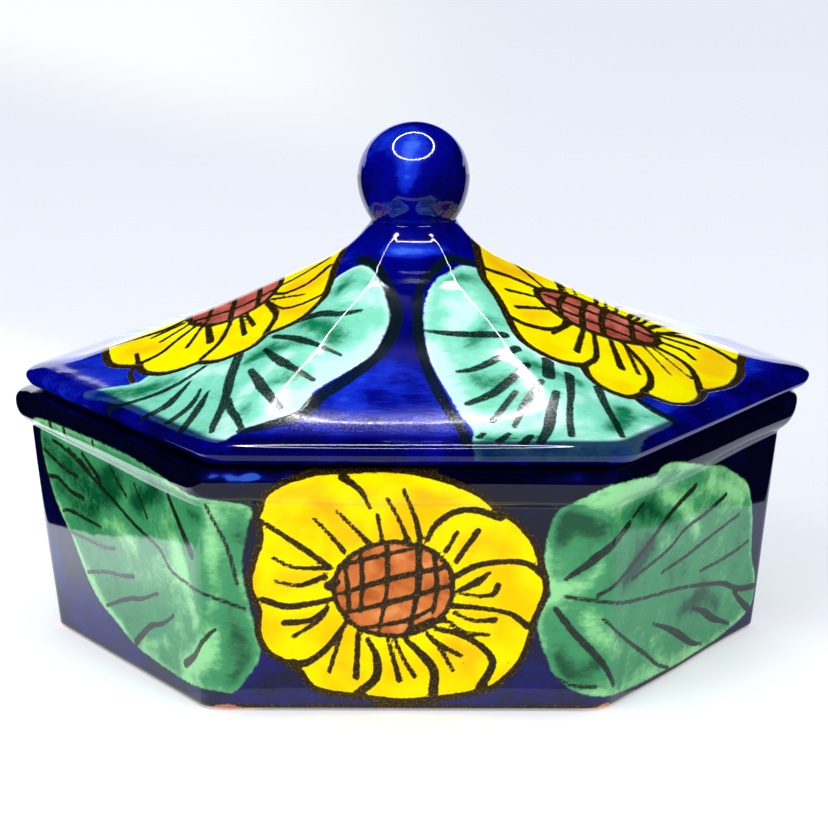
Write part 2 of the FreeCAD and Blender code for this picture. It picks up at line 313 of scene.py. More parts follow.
POT_FLOWER = {
    "centre": (-2.5, 32),
    "petals": [
        (-32, 56, -28.5, 59.4, -24.6, 61.2, -19.3, 62.6, -14, 62.8),
        (-6, 63.2, 2, 62.6, 10, 60.4, 16.4, 57.2, 21, 53), (25.7, 49.4, 29.3, 45, 31.1, 40.4, 32, 36.8),
        (32.8, 33, 32.2, 29.5, 30.2, 24.5), (29.3, 19.7, 27, 13.3, 22.1, 7.8, 18, 5.8), (12.5, 4.7, 7, 4),
        (0, 3.3, -6, 3.8, -11.4, 4.6), (-17.9, 5.4, -22.1, 7, -25, 11, -27.4, 12.7),
        (-32.5, 16, -34.6, 21, -34.3, 26.5, -35.4, 29.3), (-36.5, 34, -35.2, 39.7, -33.6, 45, -34.3, 50.5)],
    "rim": 1.7,
    "disc": (
        -17.3, 32, -15.5, 38, -10.5, 42.4, -3.2, 44.5, 4.5, 43, 10, 38.5, 11.2, 32, 9.3, 26, 4, 21.6,
        -3.2, 20, -10.5, 21.7, -15.2, 26),
    "disc_rim": 1.3,
    "ink": [
        ((1.2, 1.6, 1.6), -34.6, 50.4, -25, 43.3, -18.6, 38.3),
        ((2, 1.5, 0.8), -14.3, 62.2, -10, 58.6, -8, 53.3), ((1.3, 1.9, 1.2), -13, 63.4, -3, 63.9, 7, 63.4),
        ((0.5, 0.9), -6.4, 51.5, -5.4, 45.1),
        ((1.3, 1.7, 2.0), 5.4, 45, 7.1, 48.6, 11.4, 52, 16.4, 52.9, 22.5, 50.8),
        ((1.7, 1.5, 1.9), 11, 35, 17, 38.3, 24.3, 39.4, 29.3, 38.6, 33.2, 35.4),
        ((1.6, 1.2, 1.9), 11, 27.9, 18.6, 27.2, 25, 25.8, 29.3, 22.6),
        ((1.3, 1.7, 2.3), 7, 22, 13, 20.4, 18.6, 17, 21.1, 12.6, 18, 6),
        ((1.4, 2.3, 2.5), 0, 19, 3.6, 15.4, 6.8, 11, 6.8, 4.7),
        ((1.2, 2.2, 2.2), -9.3, 19, -7.1, 14.7, -7.1, 9, -11.4, 4.7),
        ((1.4, 1.8, 2.4), -14.3, 23.3, -18.6, 17, -23.6, 12.9, -28, 12.6),
        ((1.2, 1.8, 1.7), -17, 29.7, -23, 28.3, -28.6, 27.6, -34, 29.4),
        ((0.6, 1.6), -21.4, 50.4, -18, 46.5, -14.6, 42), ((0.7, 1.6), -15.9, 52.4, -12, 48, -8.2, 43.6),
        ((0.4, 1.5), -3.9, 56.5, -1.4, 50.4, 0.7, 45), ((0.8, 1.7), -0.2, 59, 2.5, 51, 3.6, 45.4),
        ((0.7, 1.3), 12.4, 47, 9.6, 42), ((1.6, 1.4), 17.3, 47.4, 12.1, 39.4),
        ((0.8, 2.2, 1), 20, 36.5, 17, 34, 12.5, 31.8),
        ((1.7, 1.1, 1), 22.1, 33.2, 21, 30.9, 17, 30.4, 12.6, 31.4),
        ((1.7, 1, 0.8), 21.4, 24.2, 16.4, 24, 11.6, 26), ((1.1, 0.9), 20, 20.4, 14.3, 21, 10, 24),
        ((1.3, 1.2), 13.3, 14.8, 8.6, 17.6, 5, 20.4), ((1.2, 1), 11.5, 11, 8, 17, 5.8, 19.6),
        ((1.4, 0.9), 2.2, 9.4, -0.5, 14, -2.5, 19), ((1.6, 1), -1.4, 8.3, -4.3, 19),
        ((1.7, 1.3), -11.9, 9, -11.4, 20.4), ((0.4, 1), -18.4, 10.2, -15, 22),
        ((0.6, 1.4), -27, 19.6, -20.7, 24, -18.8, 27.4), ((1.7, 1), -29, 23.3, -23, 24, -19, 27),
        ((0.6, 1.6), -31.2, 34.2, -28, 33.4, -25, 33.2, -19.3, 35.4),
        ((0.6, 1.4), -31.4, 40.2, -26.4, 37.8, -18, 37.6), ((2.6, 2.2), -18.4, 33, -16.6, 34),
        ((1, 1.4, 1.2), -14.3, 37.6, -13.8, 32, -13.6, 26.6),
        ((1, 1.4, 1), -10.7, 42, -10.4, 34, -10.9, 26.4), ((1.4, 1.2, 1), -4.3, 44, -4.6, 32, -6.4, 22),
        ((1.7, 1.8, 0.8), 3.2, 44, 2.9, 32.6, 0.7, 21), ((1.2, 1.4, 0.9), 6.8, 42, 7.5, 33, 6.4, 26),
        ((1.2, 1.3, 0.7), -15.7, 38.3, -5.7, 41, 3, 43), ((1, 1.7, 1.3), -15.7, 31, -4.3, 34.7, 9.8, 38),
        ((1, 1.6, 1.3), -14.5, 26, -2.9, 29, 10.6, 33.2), ((0.8, 1.4, 0.9), -11.4, 21.9, 0, 24, 7, 27.5),
        ((1.2, 1.8), 0, 21, 5, 23.6, 9.2, 24.2)],
    "orange": [
        (3, -9, 44.4, -4, 46, 0, 47), (5, -20, 55, -15, 49, -12, 45), (4, 14, 44, 19, 45, 23, 43),
        (4, 15, 12, 16, 15, 12, 17), (4, -15, 13, -12, 9), (4, -30, 34, -24, 35), (3, -27, 58, -20, 60),
        (4, 4, 57, 9, 56)]
}

POT_LEFT_LEAF = {
    "edge": (
        -36.2, 53.2, -37.4, 47, -38.7, 36.5, -36.6, 25, -34.9, 15, -38.7, 8.2, -42, 4.8, -47, 5.4, -59, 4.8,
        -79.5, 5.7, -92, 7.3, -102, 10.7, -110.5, 13.6, -117, 18.2, -125.3, 29, -129.5, 33.2, -133, 38.2,
        -136, 46.5, -136, 54, -131, 58.2, -117, 59.4, -84, 60, -67, 59, -50, 56.6, -43.7, 55.7),
    # The first two deep strokes, at the top left, are painted shade; the first light stroke, down the
    # front-left corner, is a painted highlight.
    "deep": [
        ((6, 12, 9), -134, 51, -120, 46, -104, 46, -94, 50), ((5, 8, 5), -129, 41, -118, 38, -107, 40),
        ((4, 6), -84, 46, -70, 52), ((3, 4), -54, 51, -50, 50), ((5, 4), -38, 46, -37, 40),
        ((4, 6, 4), -41, 22, -39, 14, -41, 9)],
    "light": [
        ((2, 4, 3), -46.4, 52, -46, 40, -46.4, 28), ((5, 8, 5), -47, 20, -52, 12, -60, 8),
        ((4, 6), -53, 23, -62, 40), ((2, 4, 2), -124, 28, -112, 16, -98, 10),
        ((3, 5, 3), -104, 36, -96, 37, -86, 35), ((3, 4), -72, 12, -84, 9)],
    "vein": [
        ((0.7, 1.3, 1.3, 1.2), -38.3, 27, -47.8, 30.3, -64.5, 32.8, -71, 37.3, -83.7, 40.3, -96, 44,
         -108.7, 47.8, -121, 51.5, -129.5, 52.8), ((0.8, 0.8), -40, 33.6, -42.4, 44, -47.4, 54),
        ((2.6, 1.6), -53.7, 39.8, -58.7, 45.7, -64.5, 52.8),
        ((1.2, 0.9), -76.6, 44, -80, 48.2, -82.8, 51.5), ((1.2, 1), -88, 47, -92, 49.4, -95.8, 52.3),
        ((1.6, 1.4), -103.3, 47.8, -108.7, 50.7, -112.8, 52.8),
        ((1.2, 1), -108.7, 48.2, -114.5, 50.7, -120.3, 52.3), ((1.7, 1.4), -122.6, 59, -123.4, 55.4),
        ((1.7, 1.7), -115, 59, -115.6, 55.4), ((1.2, 0.9), -99.2, 59.4, -99.6, 57.4),
        ((0.8, 1.3), -117, 45.7, -125.3, 46.5, -135.3, 49),
        ((1.4, 1.3), -114.5, 40.5, -122, 40.8, -128.7, 42.8, -134.5, 42.2),
        ((0.7, 1.2, 0.8), -105.3, 34.8, -122, 35.3, -128.3, 34.4),
        ((1, 0.7), -97.4, 31, -105.3, 29.8, -125.3, 29.4),
        ((1.3, 0.7), -87.4, 26, -95.3, 24.4, -104.5, 23.2, -117, 20.3),
        ((0.7, 1.4, 1), -73.7, 24.8, -83.7, 21, -92, 19, -107, 13.6),
        ((0.8, 1.4, 2.2), -65.3, 21, -72, 17.3, -80.3, 14.4, -90.3, 7.8),
        ((1, 1.7, 2.5), -45.8, 21.5, -50.3, 17.3, -54.5, 12.8, -60, 9.4)]
}

POT_RIGHT_LEAF = {
    "edge": (
        33.3, 44.4, 35.4, 51.5, 39.2, 56, 46.7, 59.8, 57.5, 59.4, 67, 57.8, 70, 59.4, 76.7, 59.2, 88.3, 56,
        99, 52.8, 110, 50.3, 120, 45.7, 126.7, 42, 130, 37.3, 132.5, 31.5, 135, 20.7, 139, 14, 138.3, 5.7,
        121.7, 2.3, 105, 1.5, 80, 2, 63.3, 2.3, 46.7, 4, 40.8, 5.7, 36.3, 9.4, 34.2, 14, 31.7, 21.5,
        32.5, 28.2, 34.6, 30.7, 33, 35.7),
    "deep": [
        ((4, 6, 4), 36.5, 46, 40, 50, 47, 48), ((3, 6, 6, 3), 58, 49, 68, 48.6, 78, 45, 86, 40),
        ((3, 5, 3), 37, 14, 40, 10, 46, 12), ((3, 6), 58, 32, 72, 38),
        ((3, 6, 3), 92, 16, 104, 17, 116, 12)],
    "light": [
        ((3, 4, 3), 35, 32.5, 42, 33.5, 47, 38), ((4, 7, 6, 3), 42, 55, 50, 56.6, 60, 55, 70, 54),
        ((3, 5, 3), 76, 50, 90, 43.5, 98, 36), ((3, 5), 104, 48, 124, 40),
        ((4, 5, 3), 44, 24, 48, 19, 56, 14), ((2, 3, 2), 60, 4, 84, 4, 104, 3.4)],
    "vein": [
        ((0.6, 0.9, 1.8), 38, 30.3, 48.3, 28.6, 57.5, 26.5, 70, 24.8, 80, 23.6, 91, 22.3, 105, 19.8, 118.3,
         17, 129, 13.2, 139, 11.5), ((1, 2.4, 2.1), 38, 34.8, 42.5, 38.2, 48, 42, 59.6, 46.5),
        ((1.1, 0.8), 61.7, 47.8, 67.5, 50.3),
        ((1.1, 1.4, 1.9), 45.8, 30.7, 59.2, 34.4, 71.7, 39, 83.3, 44.4, 95, 48.3),
        ((0.5, 1.1, 1.5), 61.7, 31.5, 81.7, 34.4, 91, 37.8, 102.5, 39.4, 114.2, 41.8),
        ((0.5, 1.2, 0.9), 79.2, 29.2, 92.5, 30.3, 105, 32, 123.8, 34.4),
        ((0.5, 1.1, 1.1), 102.5, 24, 113.3, 24, 123.3, 24.4, 131.7, 25.5),
        ((1.6, 2, 1.8), 35.8, 27, 40.8, 20.3, 46.7, 14, 53.3, 6),
        ((0.9, 1.2), 36.3, 9, 40.8, 6.9, 46.3, 6.5),
        ((0.8, 1.4, 1.1), 47.5, 24.2, 55, 19, 63.3, 14, 71.7, 9.4, 79.2, 4.8, 86.7, 2),
        ((0.6, 2.4, 0.9), 75.4, 16.5, 83.3, 13.6, 91.7, 9.8, 100.8, 5.3, 108.3, 3.2),
        ((0.6, 2.5, 0.9), 99.6, 14.8, 106.7, 12.3, 114.2, 8.6, 125.8, 4.4),
        ((0.9, 2.2), 124.2, 14.8, 129.2, 10.7, 137.5, 5.7)]
}

LID_LEFT_FLOWER = {
    "centre": (-47, -1),
    "petals": [
        (-78.6, -7, -76.5, -13, -70, -18.6), (-68.3, -23.6, -64, -28, -59.7, -29.6, -54.7, -29.6),
        (-50, -33, -45.4, -33.4, -41, -32.5, -37.6, -28.6), (-31, -28.6, -27, -26.4, -23.3, -21.4),
        (-22, -14, -21, -7, -18.5, 0), (-17, 8, -18.5, 15, -23.5, 19.5), (-25, 26, -31, 30, -38.5, 27.5),
        (-43, 31.5, -50, 32, -57, 28), (-64, 28.5, -70, 24, -71, 17), (-77, 14, -80.5, 7, -79.5, 0)],
    "rim": 2.1,
    "disc": (
        -58.5, -1, -56.5, -7, -50.5, -11.6, -44, -12, -38, -9.5, -34.5, -3, -35.5, 3.5, -40.5, 8.5,
        -47, 9.8, -54, 8, -57.8, 3.5),
    "disc_rim": 1.6,
    "ink": [
        ((1.2, 1.6), -79, -0.4, -72, -2, -64, -3, -58, -1),
        ((1.2, 1.9), -55.4, -6.8, -61, -12, -65.4, -16.4, -70, -17.6),
        ((1.2, 1.8), -47.2, -12.5, -48, -17, -50, -23.6, -54, -28.6),
        ((1.3, 1.9), -38.3, -10.5, -36.5, -15.7, -35.4, -21.4, -37.6, -28),
        ((1, 1.3), -37.6, -11, -34, -18, -29, -20.7, -23.3, -20.6),
        ((1.2, 1.6), -36, -8, -32.6, -10.7, -27, -10.4, -21.9, -6),
        ((0.9, 1.1), -35.4, -5, -29.7, -4.3, -21.9, -1.4), ((1.3, 1), -65.4, -9.3, -58.3, -5.4),
        ((1.3, 1), -67.6, -5, -59.7, -3.6), ((1.4, 1), -58.3, -18.6, -54.7, -9.3),
        ((2.2, 1.6), -52.2, -20.7, -53.2, -10.7), ((1.6, 1.1), -43.3, -24.3, -44.7, -12.5),
        ((1.4, 1.2), -41, -21, -43.3, -12.9), ((0.7, 1), -28.3, -16, -36.9, -10.4),
        ((1.2, 1.7), -35.2, 3, -29, 3, -23, 6, -18, 9),
        ((1.3, 1.9), -38, 7, -31, 11.5, -26, 17, -23.8, 19.2),
        ((1.3, 2), -43.5, 9.5, -41, 16, -41, 22, -38.7, 27.3),
        ((1.2, 1.9), -51, 9.2, -53, 15, -57.5, 20, -57.2, 27.6),
        ((1.3, 1.8), -56, 6.4, -62, 9, -66.5, 14.5, -70.8, 17), ((1.2, 0.9), -27, 10, -35, 6),
        ((1.7, 1), -32, 21, -38.5, 8.6), ((1.4, 1), -36.5, 20, -40.5, 9.4),
        ((1.6, 1.1), -46, 22, -46.4, 10.6), ((1.3, 1), -50.5, 20, -49, 10.4),
        ((1.6, 1), -62.5, 19.5, -54.6, 8.4), ((1.2, 0.8), -71, 8.5, -58.6, 4),
        ((1.4, 0.9), -68.5, 4, -59, 1.5), ((1.2, 1.4), -53.5, -8, -52.5, 0, -53, 7),
        ((1.6, 1.3), -47.5, -11, -46.5, 0, -47.5, 9), ((1.4, 1.6), -40.5, -10, -40, 0, -41.5, 8),
        ((1.2, 1.3), -57, -4.6, -46, -6.6, -36, -5.6), ((1.4, 1.1), -57.6, 1, -46, 0, -35.4, 1),
        ((1.2, 1.2), -56, 5.6, -46, 5, -38, 6.4),
        ((1.6, 1.2), -71.4, -28.6, -72.6, -22, -71, -17, -71.5, -11)],
    "orange": [
        (5, -31, -8, -26, -12), (4, -29, -24, -33, -20), (4, -73, -8, -66, -12), (5, -30, 6, -25, 12),
        (4, -50, 24, -48, 18)]
}

LID_RIGHT_FLOWER = {
    "centre": (48, -9),
    "petals": [
        (18.6, -16, 21.4, -22, 23.2, -27, 24.6, -32),
        (27, -39.4, 30.5, -43, 35.7, -44.6, 40, -43.4, 42.6, -41.6),
        (43.6, -46.5, 46.4, -50, 50.4, -51.2, 54, -50.2, 57.4, -45.4),
        (60.6, -46.2, 64.3, -47.5, 68.6, -45.6, 71.4, -40, 72.4, -34.5),
        (78.6, -28, 81.4, -22, 83.2, -14, 83.6, -7.5), (85, 2, 83, 10, 77.5, 14.5),
        (75.5, 22, 69.5, 27, 62.5, 26), (57.5, 32, 49.5, 33.5, 43.5, 29), (37, 30.5, 29.5, 26.5, 27, 19),
        (19.5, 13.5, 16.8, 2, 18, -10.4)],
    "rim": 2.4,
    "disc": (
        31.2, -11.4, 34, -17, 40, -20.4, 47, -20.8, 55, -18.4, 61.2, -14, 62.8, -10, 61, -6.8, 57, -5,
        49, -4.4, 41, -5, 34.5, -7.4),
    "disc_rim": 2,
    "ink": [
        ((1.8, 1.9), 31.4, -9.3, 25, -9.3, 18.6, -10.6),
        ((1.6, 2.1), 38.6, -18.6, 38, -24.3, 34.3, -29.3, 28.6, -31.8, 25, -31.6),
        ((1.4, 1.8), 45.7, -20.4, 46, -28.6, 45.7, -35.7, 43, -42),
        ((1.8, 2.1), 53, -20, 57, -26.4, 59.3, -32, 59.3, -39.3, 57.2, -45.6),
        ((1.8, 2.2), 60.4, -14.3, 67, -16.4, 70.7, -20.7, 72, -28.6, 72.2, -37),
        ((1.7, 2), 63.3, -5.7, 68.6, -3.2, 74.3, -2.1, 80, -4.3, 83.4, -7.9),
        ((1.5, 1.1), 23.6, -17.5, 32, -14), ((1.6, 1.1), 26, -24.7, 34.3, -18),
        ((1.2, 1.2), 35, -31, 40, -21), ((1.9, 1.3), 41, -35.9, 43, -22),
        ((2.3, 1.5), 52.2, -35.7, 50, -22), ((1.4, 1.2), 56.5, -35.4, 54, -22.5),
        ((0.9, 1.1), 65, -28.8, 58.6, -17), ((1, 1.1), 70.4, -27.2, 64.3, -19.3, 60, -15.4),
        ((1.7, 1.5), 72, -13.6, 69.3, -10.7, 63, -10.7), ((1.5, 1.3), 73.6, -5.7, 68, -6.6, 62.9, -7.4),
        ((1.5, 2), 60, -6, 66, 2, 71.5, 9.5, 77.2, 14.2), ((1.5, 2), 55, -4.6, 59.5, 7, 60, 18, 62.2, 25.6),
        ((1.4, 1.9), 47, -4.4, 46.5, 8, 41.5, 19, 43.3, 28.6),
        ((1.5, 1.9), 38, -6, 35, 5, 29, 12.5, 27.2, 18.6), ((1.1, 1.1), 75, 5, 62, -7),
        ((1.6, 1), 68, 16.5, 58.5, -5), ((1.4, 1), 64, 15, 57, -4.8), ((1.7, 1.1), 54.5, 20, 52, -4.6),
        ((1.2, 1), 50, 18, 49.5, -4.4), ((1.5, 1), 36.5, 18.5, 42, -5), ((1.2, 1), 32, 17, 39.5, -5.4),
        ((1.5, 1), 23.5, 2, 34, -8), ((1.7, 1.6), 37.4, -18, 37, -12, 38.6, -6.4),
        ((2, 1.7), 43, -20, 43, -12, 44, -5), ((1.8, 2), 48.4, -20.5, 48, -12, 49, -4.6),
        ((1.8, 1.6), 56.4, -17.6, 56, -12, 56, -5.2), ((1.4, 1.6), 33.6, -11, 48, -9.2, 62, -9.6),
        ((1.5, 1.5), 34.6, -15.4, 45, -15, 59, -15)],
    "orange": [
        (9, 76, -18, 78, -9), (6, 20, -4, 24, -6, 30, -4), (4, 33, -22, 29, -27), (5, 66, -24, 68, -20),
        (4, 53, 24, 50, 12), (5, 30, 8, 24, 6)]
}

LID_LEFT_LEAF = {
    "edge": (
        -84, -30.7, -79, -29.3, -70.4, -29.6, -66, -26, -58, -26, -50, -29, -42, -28, -34, -25, -26, -21,
        -21.9, -18, -19.7, -14.3, -15.4, -13, -12, -15.4, -9, -22, -7.2, -28.6, -6.1, -35.7, -7.6, -41.4,
        -10.4, -48.6, -15.4, -54.3, -22, -60, -25.4, -63.6, -27, -68.6, -33.3, -73.6, -39.7, -77,
        -43.3, -80.7, -48, -86, -56, -76, -66, -59, -76, -42),
    "deep": [
        ((5, 9, 5), -80, -34, -72, -36, -62, -35), ((3, 5, 5), -70, -52, -62, -66, -54, -79),
        ((2, 4, 4, 3), -83, -34, -74, -47, -65, -62, -55, -79), ((4, 5), -42, -67, -41, -71),
        ((3, 5, 3), -42, -41, -36, -40, -28, -43), ((2, 4, 3), -36, -59, -31, -59, -27, -56),
        ((3, 6), -27, -33, -20, -43), ((2, 4), -16, -17, -20, -24)],
    # The first light stroke is a painted reflection of the light above.
    "light": [
        ((3, 7, 9, 7), -9, -42, -16, -52, -28, -62, -42, -76), ((4, 6), -44, -63, -47, -82),
        ((4, 5), -32, -46, -42, -58), ((4, 6), -22, -26, -11, -30), ((3, 4), -56, -36, -48, -40)],
    "vein": [
        ((2.4, 3.6, 3, 4, 3), -14, -10.4, -8.3, -20, -5.4, -28.6, -4.5, -35.7, -6, -43, -9.4, -50, -16,
         -57.6, -23.3, -64.8, -27.6, -71.4, -36, -76.4, -42, -79.6),
        ((1.4, 2.5, 2.1), -53, -34.3, -58.3, -38, -64, -40.7, -72.6, -45, -76.5, -43.6),
        ((1.1, 2.8, 2.8), -56.5, -40, -59.7, -46.4, -62.6, -53, -67, -58),
        ((0.7, 2, 2.2), -53.6, -47, -55.4, -54.3, -60.6, -65.5),
        ((0.7, 2.4, 2), -51.5, -50, -53.3, -57, -57, -73.8),
        ((2.8, 2.8, 2.2, 1.4), -44.4, -35.7, -46, -46.4, -47, -58.6, -49, -71.4, -49.5, -78.6),
        ((1.7, 2.2, 1.7), -46, -59.3, -45.2, -65.7, -43.5, -72, -42, -78.6),
        ((1.7, 2.9, 2.4), -41, -47, -39, -54.3, -37, -61.4, -33.3, -69),
        ((1.4, 2.7, 1.5), -37.6, -38, -34.7, -45.7, -31, -53, -25.1, -58.6),
        ((1.8, 2.4, 1.1), -35.4, -32.5, -30.4, -38, -25.8, -44.3, -18.3, -49.4),
        ((2.8, 2.7, 1), -29.7, -29, -24, -30.7, -19.4, -34.2, -13.3, -33.2)]
}

LID_RIGHT_LEAF = {
    "edge": (
        20, -14, 16.4, -13, 13, -14.3, 10, -18.6, 5.7, -22, 3.2, -28.6, 2.5, -35.7, 3.2, -44.3, 4.3, -51.4,
        6.4, -58, 9.3, -65.7, 12, -73, 14.3, -78.6, 15.5, -91, 30, -91, 51, -91, 57, -78, 63.6, -65,
        61.4, -60, 56, -53, 45, -47, 34, -40, 25, -28),
    "deep": [
        ((4, 6, 4), 15, -57, 19, -59, 24, -58), ((4, 6, 6), 52, -60, 51, -70, 49, -77),
        ((3, 5), 8, -24, 12, -21), ((3, 4), 28, -52, 41, -54), ((3, 4), 18, -84, 30, -84),
        ((5, 6, 5), 16, -89.5, 34, -89.5, 52, -89), ((3, 5), 19, -36, 15, -44)],
    # The first light stroke is a painted reflection of the light above.
    "light": [
        ((5, 8, 8, 4), 13, -74, 22, -76, 32, -74, 38, -64), ((4, 6, 4), 9, -30, 14, -34, 10, -38),
        ((4, 6), 48, -54, 56, -57), ((3, 5, 3), 5, -46, 8, -58, 13, -70), ((3, 4), 26, -42, 36, -50),
        ((3, 5), 50, -82, 57, -72)],
    "vein": [
        ((2.6, 2.4, 3, 2.6), 15.4, -10.6, 7, -17, 2, -23.6, 0.9, -32, 1.3, -43, 3.4, -54.3, 6, -63, 9,
         -71.4, 11.6, -78.6, 12.6, -86.8), ((3, 3.4), 56.4, -52, 60, -57, 63.8, -62),
        ((1, 2.1, 2.5), 3, -40, 10.7, -41, 23, -41.4),
        ((1.1, 2.2, 2.8), 10.7, -55.4, 16.4, -53.6, 25.7, -46.4),
        ((1.7, 2.8, 2.5), 13, -67.5, 20, -63, 28, -53), ((2, 1.7), 19, -74.3, 22, -68.6, 25, -63),
        ((1.4, 2.5, 2), 24.3, -77, 27, -68, 31.4, -59), ((2, 1.7), 15.7, -83, 16.8, -80.6),
        ((2.5, 1.7), 20.7, -85, 23, -80.7), ((2.8, 2), 26.4, -86.6, 28.2, -82),
        ((2.5, 3.1, 2.2), 30.7, -85.7, 32.5, -78.6, 33.6, -70, 35, -63), ((3.4, 3.1), 33.4, -56, 33.4, -48),
        ((2, 1.7, 2.7), 38.2, -82, 38, -71.4, 38.6, -62, 38.6, -51.4),
        ((2.8, 2.2, 1.7), 45.7, -53, 47, -60.7, 49.3, -71.4, 50.7, -81.4)]
}


# ---------------------------------------------------------------- the clay pieces

def profile(*runs):
    """Join runs of (reach, height, rounding) points, each with its own spacing.

    Returns the rows and the length along them where each run starts.
    """
    rows, starts, length = [], [], 0.0
    for spacing, points in runs:
        run = evenly(points, spacing)
        starts.append(length)
        length += np.hypot(*np.diff(run[:, :2], axis=0).T).sum()
        rows.append(run[1:] if rows else run)
    return np.concatenate(rows), starts


def inset(reach, *points):
    """Profile points from their distances inside a reach."""
    return [(reach - distance, height, rounding) for distance, height, rounding in points]


def hill(value, middle, width, power=2):
    """1 at the middle, falling smoothly to 0 over a few widths."""
    return np.exp(-((value - middle) / width) ** power)


def drift(chart, length, seed):
    """How far painting wanders where the back repeats the front."""
    return np.stack([ripple(chart, length, seed), ripple(chart, length, seed + 1)], 1)


def stretch_foot(grid):
    """The front and back of the foot came out of the press a little long."""
    x, y, z = grid[..., 0], grid[..., 1], grid[..., 2]
    reach = np.hypot(x, y).max(axis=1, keepdims=True)
    share = FOOT_STRETCH * (1 - np.clip(z / POT_TOP, 0, 1)) * np.abs(y) / (reach * COS30)
    grid[..., 0] = x + np.sign(x) * share * np.minimum(np.abs(x), reach / 2)
    return grid


def lean_crease(grid, outer):
    """The step under the lip is higher and further out at the left than at the right."""
    x, z = grid[..., 0], grid[..., 2]
    near = outer * np.interp(z, (10, CREASE, CREASE + 9), (0, 1, 0))
    grid[..., 2] = z - near * 0.009 * x
    grid[..., 0] = x - 0.45 * near
    return grid


def pot_profile():
    wall_foot, crease = inset(LIP_REACH, (9.7, 0.85, 8), (3.95, CREASE, 8))
    under = [(2, 0.9, 2), (20, 0.9, 6), (66, 0.9, 7), (69.5, 0.5, 7), (71.6, 0, 7.5),
             *inset(LIP_REACH, (12.2, 0, 7.5), (12, 0.5, 7.5), (10, 0.62, 8)), wall_foot]
    lip = spline([crease, *inset(
        LIP_REACH, (3.65, 53.65, 8), (3, 54.25, 8), (1.9, 55.2, 8), (0.95, 56.6, 8), (0.28, 58.5, 8),
        (0, 60.8, 8), (0.3, 62.2, 8), (1.2, 63.2, 7.5), (2.6, POT_TOP, 7))])
    mouth = spline(inset(LIP_REACH, (2.6, POT_TOP, 7), (8.4, POT_TOP, 5), (9.7, 63.1, 4.4),
                         (10.2, 61.9, 4)))
    well = spline(inset(LIP_REACH, (10.2, 61.9, 4), (13, 34, 5), (15.4, 10.6, 6), (16.6, 7.8, 6),
                        (19, 7, 6)))
    floor = [*inset(LIP_REACH, (19, 7, 6)), (40, 6.8, 6), (2, 6.7, 2)]
    return profile((3, under), (0.8, [wall_foot, crease]), (0.6, lip), (1, mouth), (2.5, well),
                   (4, floor))


def paint_pot(chart):
    paint = Paint(chart)
    paint.leaf(POT_LEFT_LEAF)
    paint.leaf(POT_RIGHT_LEAF)
    paint.flower(POT_FLOWER)
    return paint


def pot_fields(ways, heights, along, starts):
    """The painting, then bare clay, a painted shadow round the foot, the inside, worn patches on the lip
    and a painted floor reflection low on the wall.
    """
    _, wall, lip, mouth, _, _ = starts
    back_ways = np.where(ways > 0, ways - 3 * SIDE_CHART, ways + 3 * SIDE_CHART)
    back_chart = np.stack([back_ways, heights], 1)
    paint = paint_pot(np.stack([ways, heights], 1))
    back = paint_pot(back_chart + 1.1 * drift(back_chart, 26, 31))
    paint.over(back, np.abs(ways) > 1.5 * SIDE_CHART)
    fields = paint.kept((along >= wall) & (along <= mouth + 3))

    corner = np.abs((ways + SIDE_CHART / 2) % SIDE_CHART - SIDE_CHART / 2 - 2)
    corner = np.abs(SIDE_CHART / 2 - corner)
    drip = ripple(np.stack([ways, 0 * ways], 1), 14, 7)
    bare_foot = wall - 3.2 + 4 * hill(corner, 0, 7) + 0.7 * drip - along
    wiped_seat = 2 - np.abs(along - (mouth + 7.4))
    fields["clay"] = np.maximum(np.clip(bare_foot, -FAR, FAR), wiped_seat)
    # Painted shadow: a dark band in ink colour along the foot, where the box meets the floor.
    painted_foot_shadow = 2.0 + 0.15 * drip - np.abs(along - wall + 1.2)
    fields["ink"] = np.maximum(fields["ink"], painted_foot_shadow)
    fields["inside"] = np.clip(along - (mouth + 9), -FAR, FAR)
    # Worn light-blue patches on the top of the lip.
    broken = hill(ways, -37, 11) + 0.5 * hill(ways, 40, 8)
    broken *= hill(heights, 61.8, 1.5) * (1 + 0.5 * ripple(back_chart, 6, 77))
    on_lip = np.clip((along - lip) / 4, 0, 1)
    # Painted reflection: the blue is lighter low on the wall, where the floor shows in the glaze, and
    # darker towards the top and over the lip.
    fields["wear_and_painted_light"] = 0.4 - 0.65 * np.clip((heights - 12) / 34, 0, 1) + on_lip * (1.5 * broken - 0.25)
    return fields


def build_pot():
    rows, starts = pot_profile()
    grid, ways = hexagon_rows(rows, 120, 12)
    lengths = lengths_along(rows)
    outer = lengths[:, None] < starts[3]
    grid = wobble(lean_crease(stretch_foot(grid), outer), 11, (0, POT_TOP))
    piece = ring_mesh("pot", grid)
    store(piece, pot_fields(np.tile(ways, len(rows)), grid[..., 2].ravel(),
                            np.repeat(lengths, len(ways)), starts))
    return piece


def swell_back(grid):
    """The lid's two rear slopes are fuller than the front ones, most of all the right one."""
    x, y, z = grid[..., 0], grid[..., 1], grid[..., 2]
    above = np.clip((z - POT_TOP - 2) / 4, 0, 1)
    for middle, rise in ((62, 2.0), (-66, 0.8)):
        grid[..., 2] += above * rise * hill(x, middle, 27) * hill(y, 38, 30)
    return grid


